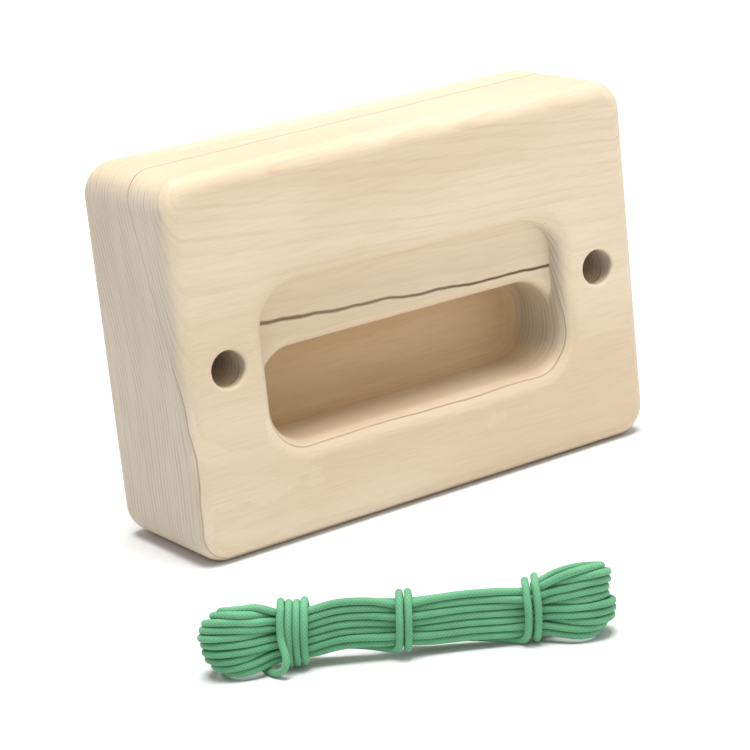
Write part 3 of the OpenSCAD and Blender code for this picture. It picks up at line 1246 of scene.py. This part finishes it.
@dataclass
class TrainingBlock:
    """The maple block with its stepped finger pocket and two cord holes, in millimetres.

    Attributes:
        length: Length of the block.
        height: Its height as it stands.
        thickness: Its thickness, front to back.
        corner: Radius of its four corners, seen from the front.
        edge: Rounding of its front and back edges.
        pocket_length: Length of the pocket.
        pocket_height: Height of the pocket.
        pocket_middle: Height of the pocket's middle over the foot.
        pocket_corner: Corner radius of the pocket's walls.
        lip: Rounding of the pocket's rim.
        ledge: Depth of the ledge behind the front face.
        slot_height: Height of the deep slot under the ledge.
        slot_depth: Depth of the slot behind the front face.
        ledge_edge: Rounding of the ledge's lower edge.
        cove: Hollow where the slot's walls meet its back.
        hole: Diameter of a cord hole.
        hole_inset: Distance from the block's end to a hole's centre.
        hole_lip: Rounding of a hole's mouths.
        per_corner: Pieces that each corner is cut into.
        per_edge: Pieces that each rounded edge is cut into.
        per_hole: Points round a cord hole.
        finish: Finish of the wood.
    """

    length: float = 150.0
    height: float = 104.0
    thickness: float = 45.0
    corner: float = 9.0
    edge: float = 5.0
    pocket_length: float = 97.0
    pocket_height: float = 43.5
    pocket_middle: float = 48.0
    pocket_corner: float = 11.0
    lip: float = 5.0
    ledge: float = 6.0
    slot_height: float = 25.25
    slot_depth: float = 25.0
    ledge_edge: float = 3.0
    cove: float = 4.0
    hole: float = 10.0
    hole_inset: float = 14.0
    hole_lip: float = 1.0
    per_corner: int = 20
    per_edge: int = 10
    per_hole: int = 48
    finish: MapleFinish = field(default_factory=MapleFinish)

    def ring(self, length: float, height: float, radius: float, middle: float,
             stops: int = 6) -> np.ndarray:
        """Points of a rounded rectangle, starting at the right of the bottom edge and going up.

        Args:
            length: Its length.
            height: Its height.
            radius: Its corner radius.
            middle: Height of its middle.
            stops: Pieces that each straight side is cut into.

        Returns:
            Its points, with the same count for every size.
        """
        half_l, half_h = length / 2 - radius, height / 2 - radius
        centres = [(half_l, -half_h), (half_l, half_h), (-half_l, half_h), (-half_l, -half_h)]
        points: list[tuple[float, float]] = []
        for quarter, (cx, cz) in enumerate(centres):
            start = -math.pi / 2 + quarter * math.pi / 2
            for i in range(self.per_corner + 1):
                angle = start + math.pi / 2 * i / self.per_corner
                points.append((cx + radius * math.cos(angle), cz + radius * math.sin(angle)))
            following = centres[(quarter + 1) % 4]
            end = start + math.pi / 2
            first = points[-1]
            last = (following[0] + radius * math.cos(end), following[1] + radius * math.sin(end))
            for i in range(1, stops):
                t = i / stops
                points.append((first[0] + (last[0] - first[0]) * t, first[1] + (last[1] - first[1]) * t))
        result = np.array(points)
        result[:, 1] += middle
        return result

    def level(self, points: np.ndarray, depth: float) -> Loop:
        """A ring whose points all lie at one depth."""
        return Loop(points, np.full(len(points), depth))

    def bends(self, pieces: int) -> list[float]:
        """Angles that cut a quarter turn into equal pieces."""
        return [math.pi / 2 * i / pieces for i in range(pieces + 1)]

    def outer_rings(self) -> list[Loop]:
        """Lay rings over the rounded outside.

        Returns:
            The rings, from the front face's flat to the back face's flat.
        """
        steps = [(self.edge * (1 - math.sin(bend)), self.edge * (1 - math.cos(bend)))
                 for bend in self.bends(self.per_edge)]
        straight = self.thickness - 2 * self.edge
        rings = [self.level(self.outline(inset), depth) for inset, depth in steps]
        for share in (0.25, 0.5, 0.75):
            rings.append(self.level(self.outline(0.0), self.edge + share * straight))
        for inset, depth in reversed(steps):
            rings.append(self.level(self.outline(inset), self.thickness - depth))
        return rings

    def outline(self, inset: float) -> np.ndarray:
        """The block's outline, moved inwards."""
        length, height = self.length - 2 * inset, self.height - 2 * inset
        return self.ring(length, height, self.corner - inset, self.height / 2)

    def slot_outline(self, shrink: float) -> np.ndarray:
        """The deep slot's outline, moved inwards. Its ends are flush with the pocket's end walls.

        Args:
            shrink: How far it is moved.

        Returns:
            Its points.
        """
        length, height = self.pocket_length - 2 * shrink, self.slot_height - 2 * shrink
        middle = self.pocket_middle - (self.pocket_height - self.slot_height) / 2
        return self.ring(length, height, self.pocket_corner - shrink, middle)

    def wall_line(self) -> np.ndarray:
        """The pocket's wall, with its points opposite those of the slot.

        Returns:
            Points on the pocket's outline, one for each point of the slot's outline.
        """
        slot = self.slot_outline(0.0)
        wall = slot.copy()
        half, radius = self.pocket_length / 2, self.pocket_corner
        top = self.pocket_middle + self.pocket_height / 2
        slot_top = self.pocket_middle - self.pocket_height / 2 + self.slot_height
        arc_start, side_end = slot_top - radius, top - radius
        rest = (side_end - slot_top) + math.pi / 2 * radius
        hair = 1e-6
        for i, (x, z) in enumerate(slot):
            if z <= arc_start + hair:
                continue
            if abs(x) <= half - radius + hair:
                wall[i] = (x, top)
                continue
            # The lower half of the slot's corner faces the wall beside it, and the
            # upper half is spread over the wall above that and the pocket's corner.
            sign = 1.0 if x >= 0 else -1.0
            angle = math.atan2(z - arc_start, abs(x) - (half - radius))
            run = rest * (angle - math.pi / 4) / (math.pi / 4)
            swing = (run - (side_end - slot_top)) / radius
            if angle <= math.pi / 4:
                wall[i] = (sign * half, arc_start + radius * math.tan(angle))
            elif swing <= 0.0:
                wall[i] = (sign * half, slot_top + run)
            else:
                inset = radius * (1 - math.cos(swing))
                wall[i] = (sign * (half - inset), side_end + radius * math.sin(swing))
        return wall

    def pocket_rings(self) -> list[Loop]:
        """Rings from the rim on the front face down to the slot's back wall.

        Returns:
            The rings, outermost first.
        """
        rings = []
        wall, slot = self.wall_line(), self.slot_outline(0.0)
        outward, way = self.outward(wall), self.outward(slot)
        for bend in self.bends(self.per_edge):
            grow = self.lip * (1 - math.sin(bend))
            rings.append(self.level(wall + outward * grow, self.lip * (1 - math.cos(bend))))
        # The ledge between the wall and the slot; its rounded edge ends at the wall where they meet.
        gap = np.linalg.norm(wall - slot, axis=1)
        rings.append(Loop(wall, self.ledge + self.edge_drop(gap)))
        widest = np.minimum(gap, self.ledge_edge)
        for share in (0.66, 0.33):
            points = slot + way * widest[:, None]
            mixed = points + (wall - points) * share
            rings.append(Loop(mixed, self.ledge + self.edge_drop(np.linalg.norm(mixed - slot, axis=1))))
        for bend in self.bends(self.per_edge - 1):
            here = np.minimum(self.ledge_edge * (1 - math.sin(bend)), widest)
            rings.append(Loop(slot + way * here[:, None], self.ledge + self.edge_drop(here)))
        base, deep = self.ledge + self.ledge_edge, self.slot_depth - self.cove
        for share in (0.3, 0.65, 1.0):
            rings.append(self.level(slot, base + share * (deep - base)))
        for bend in self.bends(self.per_edge)[1:]:
            inset = self.cove * (1 - math.cos(bend))
            rings.append(self.level(self.slot_outline(inset), deep + self.cove * math.sin(bend)))
        return rings

    def edge_drop(self, reach: np.ndarray | float) -> np.ndarray | float:
        """Depth of the rounded edge below the ledge at a distance from the slot."""
        inside = np.clip(self.ledge_edge - reach, 0.0, self.ledge_edge)
        return self.ledge_edge - np.sqrt(np.maximum(self.ledge_edge ** 2 - inside ** 2, 0.0))

    def outward(self, points: np.ndarray) -> np.ndarray:
        """Directions that point out of a ring.

        Args:
            points: A ring going anticlockwise.

        Returns:
            A unit vector for each point.
        """
        ahead, behind = np.roll(points, -1, axis=0), np.roll(points, 1, axis=0)
        one, two = ahead - points, points - behind
        one /= np.maximum(np.linalg.norm(one, axis=1, keepdims=True), 1e-9)
        two /= np.maximum(np.linalg.norm(two, axis=1, keepdims=True), 1e-9)
        along = one + two
        along /= np.maximum(np.linalg.norm(along, axis=1, keepdims=True), 1e-9)
        return np.stack([along[:, 1], -along[:, 0]], axis=1)

    def place(self, mesh: bmesh.types.BMesh, loop: Loop) -> list[bmesh.types.BMVert]:
        """Add a ring's points to the mesh."""
        return [mesh.verts.new((x * MM, (depth - self.thickness / 2) * MM, z * MM))
                for (x, z), depth in zip(loop.points, loop.depth)]

    def bridge(self, mesh: bmesh.types.BMesh, rings: list[list[bmesh.types.BMVert]]) -> None:
        """Join each ring to the next with a band of faces.

        Args:
            mesh: The mesh being built.
            rings: The rings' points, in order.
        """
        for one, two in zip(rings, rings[1:]):
            count = len(one)
            for i in range(count):
                j = (i + 1) % count
                mesh.faces.new((one[i], one[j], two[j], two[i]))

    def plate(self, mesh: bmesh.types.BMesh, outside: list[bmesh.types.BMVert],
              holes: list[list[bmesh.types.BMVert]]) -> None:
        """Close a flat face that has holes in it.

        Args:
            mesh: The mesh being built.
            outside: Its outer ring.
            holes: Rings round its holes.
        """
        every = list(outside)
        loops = [list(range(len(outside)))]
        for hole in holes:
            loops.append(list(range(len(every), len(every) + len(hole))))
            every += hole
        flat = [Vector((vert.co.x, vert.co.z)) for vert in every]
        edges = [(loop[i], loop[(i + 1) % len(loop)]) for loop in loops for i in range(len(loop))]
        keep_all, tolerance = 0, 1e-7
        _, _, faces, sources, _, _ = delaunay_2d_cdt(flat, edges, [], keep_all, tolerance)
        outlines = [np.array([flat[i][:] for i in loop]) for loop in loops]
        for face in faces:
            ids = [sources[i][0] for i in face]
            middle = sum((flat[i] for i in ids), Vector((0, 0))) / len(ids)
            in_hole = any(self.within(middle, ring) for ring in outlines[1:])
            if self.within(middle, outlines[0]) and not in_hole:
                mesh.faces.new([every[i] for i in ids])

    def within(self, point: Vector, ring: np.ndarray) -> bool:
        """Tell whether a point lies inside a ring.

        Args:
            point: The point.
            ring: The ring's points in order.

        Returns:
            True if it does.
        """
        x, z = point
        x1, z1 = ring[:, 0], ring[:, 1]
        x2, z2 = np.roll(x1, -1), np.roll(z1, -1)
        crossing = (z1 > z) != (z2 > z)
        at = x1 + (z - z1) * (x2 - x1) / np.where(z2 == z1, 1e-12, z2 - z1)
        return bool(np.count_nonzero(crossing & (x < at)) % 2)

    def hole_rings(self, side: float) -> list[Loop]:
        """Lay rings through one cord hole.

        Args:
            side: Which end of the block it is at, -1 or 1.

        Returns:
            The rings, from its front mouth to its back mouth.
        """
        pieces, bore = 6, self.hole / 2
        centre = np.array([side * (self.length / 2 - self.hole_inset), self.height / 2])
        turns = np.linspace(0.0, math.tau, self.per_hole, endpoint=False)
        round_it = np.stack([np.cos(turns), np.sin(turns)], axis=1)
        mouth = [(bore + self.hole_lip * (1 - math.sin(bend)), self.hole_lip * (1 - math.cos(bend)))
                 for bend in self.bends(pieces)]
        steps = mouth + [(bore, self.thickness * share) for share in (0.33, 0.66)]
        steps += [(radius, self.thickness - depth) for radius, depth in reversed(mouth)]
        return [self.level(centre + round_it * radius, depth) for radius, depth in steps]

    def build(self) -> bpy.types.Object:
        """Make the block as one closed mesh with its finish.

        Returns:
            The block's object.
        """
        mesh = bmesh.new()
        outer = [self.place(mesh, ring) for ring in self.outer_rings()]
        pocket = [self.place(mesh, ring) for ring in self.pocket_rings()]
        holes = [[self.place(mesh, ring) for ring in self.hole_rings(side)] for side in (-1.0, 1.0)]
        self.bridge(mesh, outer)
        self.bridge(mesh, pocket)
        for hole in holes:
            self.bridge(mesh, hole)
        self.plate(mesh, outer[0], [pocket[0]] + [hole[0] for hole in holes])
        self.plate(mesh, outer[-1], [hole[-1] for hole in holes])
        self.plate(mesh, pocket[-1], [])
        weld, sliver = 0.002 * MM, 0.001 * MM
        bmesh.ops.remove_doubles(mesh, verts=mesh.verts, dist=weld)
        bmesh.ops.dissolve_degenerate(mesh, edges=mesh.edges, dist=sliver)
        bmesh.ops.recalc_face_normals(mesh, faces=mesh.faces)
        for face in mesh.faces:
            face.smooth = True
        data = bpy.data.meshes.new("training_block")
        mesh.to_mesh(data)
        mesh.free()
        data.materials.append(self.finish.build())
        block = add_object("training_block", data)
        weighted = block.modifiers.new("face_normals", "WEIGHTED_NORMAL")
        weighted.keep_sharp, weighted.weight = True, 60
        bake_modifiers(block)
        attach(block, "block")
        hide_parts("block")
        log.info("training_block: %d faces", len(block.data.polygons))
        return block


# ---- Studio --------------------------------------------------------------------


@dataclass
class Studio:
    """The pale floor, the soft light and the camera.

    Attributes:
        eye: Where the camera stands.
        right: Direction to the right in its picture.
        up: Direction upwards in its picture.
        lens: Its focal length in millimetres.
        floor_size: Side of the floor.
        floor_tone: Grey of the floor.
        room_light: Strength of the light from all round.
    """

    eye: tuple[float, float, float] = (-0.382520, -0.600309, 0.237574)
    right: tuple[float, float, float] = (0.82446693, -0.55666523, -0.10187301)
    up: tuple[float, float, float] = (0.23750667, 0.17697268, 0.95512892)
    lens: float = 127.307
    floor_size: float = 30.0
    floor_tone: float = 0.74
    room_light: float = 0.50

    def build_camera(self) -> None:
        """Set up the camera and make it the scene's own."""
        data = bpy.data.cameras.new("studio_camera")
        data.lens, data.sensor_width = self.lens, 36.0
        data.clip_start, data.clip_end = 0.01, 100.0
        camera = bpy.data.objects.new("studio_camera", data)
        bpy.context.scene.collection.objects.link(camera)
        right, up = Vector(self.right), Vector(self.up)
        back = right.cross(up)
        rows = Matrix((right, up, back)).transposed().to_4x4()
        camera.matrix_world = Matrix.Translation(self.eye) @ rows
        bpy.context.scene.camera = camera

    def build_floor(self) -> bpy.types.Object:
        """Lay the pale floor.

        Returns:
            The floor's object.
        """
        half = self.floor_size / 2
        mesh = bpy.data.meshes.new("floor")
        corners = [(-half, -half, 0), (half, -half, 0), (half, half, 0), (-half, half, 0)]
        mesh.from_pydata(corners, [], [(0, 1, 2, 3)])
        floor = add_object("floor", mesh)
        sheet = NodeSheet("pale_paper")
        sheet.shader.inputs["Base Color"].default_value = (*[self.floor_tone] * 3, 1.0)
        sheet.shader.inputs["Roughness"].default_value = 0.9
        sheet.shader.inputs["Specular IOR Level"].default_value = 0.1
        floor.data.materials.append(sheet.material)
        return floor

    def build_lights(self) -> None:
        """Hang the soft lights and brighten the room."""
        world = bpy.data.worlds.new("studio_room")
        world.use_nodes = True
        sky = world.node_tree.nodes["Background"]
        sky.inputs[0].default_value = (1.0, 1.0, 1.0, 1.0)
        sky.inputs[1].default_value = self.room_light
        bpy.context.scene.world = world
        self.panel("key_panel", (0.35, -0.95, 0.60), 0.8, 2.0)
        self.overhead("top_light", 4.2, 34.0, 4.0)

    def overhead(self, name: str, strength: float, spread: float, tip: float) -> None:
        """Light the whole floor evenly from above.

        Args:
            name: Its name.
            strength: Its strength in watts per square metre.
            spread: Angle over which it comes in, in degrees; wide gives soft shadows.
            tip: How far it is tipped towards the front, in degrees.
        """
        data = bpy.data.lights.new(name, "SUN")
        data.energy, data.angle = strength, math.radians(spread)
        lamp = bpy.data.objects.new(name, data)
        bpy.context.scene.collection.objects.link(lamp)
        lamp.rotation_euler = (math.radians(tip), 0.0, 0.0)

    def panel(self, name: str, place: tuple[float, float, float], size: float, power: float) -> None:
        """Hang a square light that faces the block.

        Args:
            name: Its name.
            place: Where it hangs.
            size: Its side.
            power: Its power in watts.
        """
        data = bpy.data.lights.new(name, "AREA")
        data.shape, data.size, data.energy = "SQUARE", size, power
        lamp = bpy.data.objects.new(name, data)
        bpy.context.scene.collection.objects.link(lamp)
        lamp.location = place
        lamp.rotation_euler = (Vector((0, 0, 0.05)) - Vector(place)).to_track_quat("-Z", "Y").to_euler()


def main() -> None:
    """Build the camera, the cord, the block and the studio, in that order."""
    logging.basicConfig(level=logging.INFO, format="%(name)s: %(message)s")
    for name in ("Cube", "Light", "Camera"):
        left_over = bpy.data.objects.get(name)
        if left_over is not None:
            bpy.data.objects.remove(left_over)
    scene = bpy.context.scene
    scene.view_settings.view_transform = "Standard"
    studio = Studio()
    studio.build_camera()
    WoundCord().build()
    TrainingBlock().build()
    studio.build_floor()
    studio.build_lights()


if __name__ == "__main__":
    main()
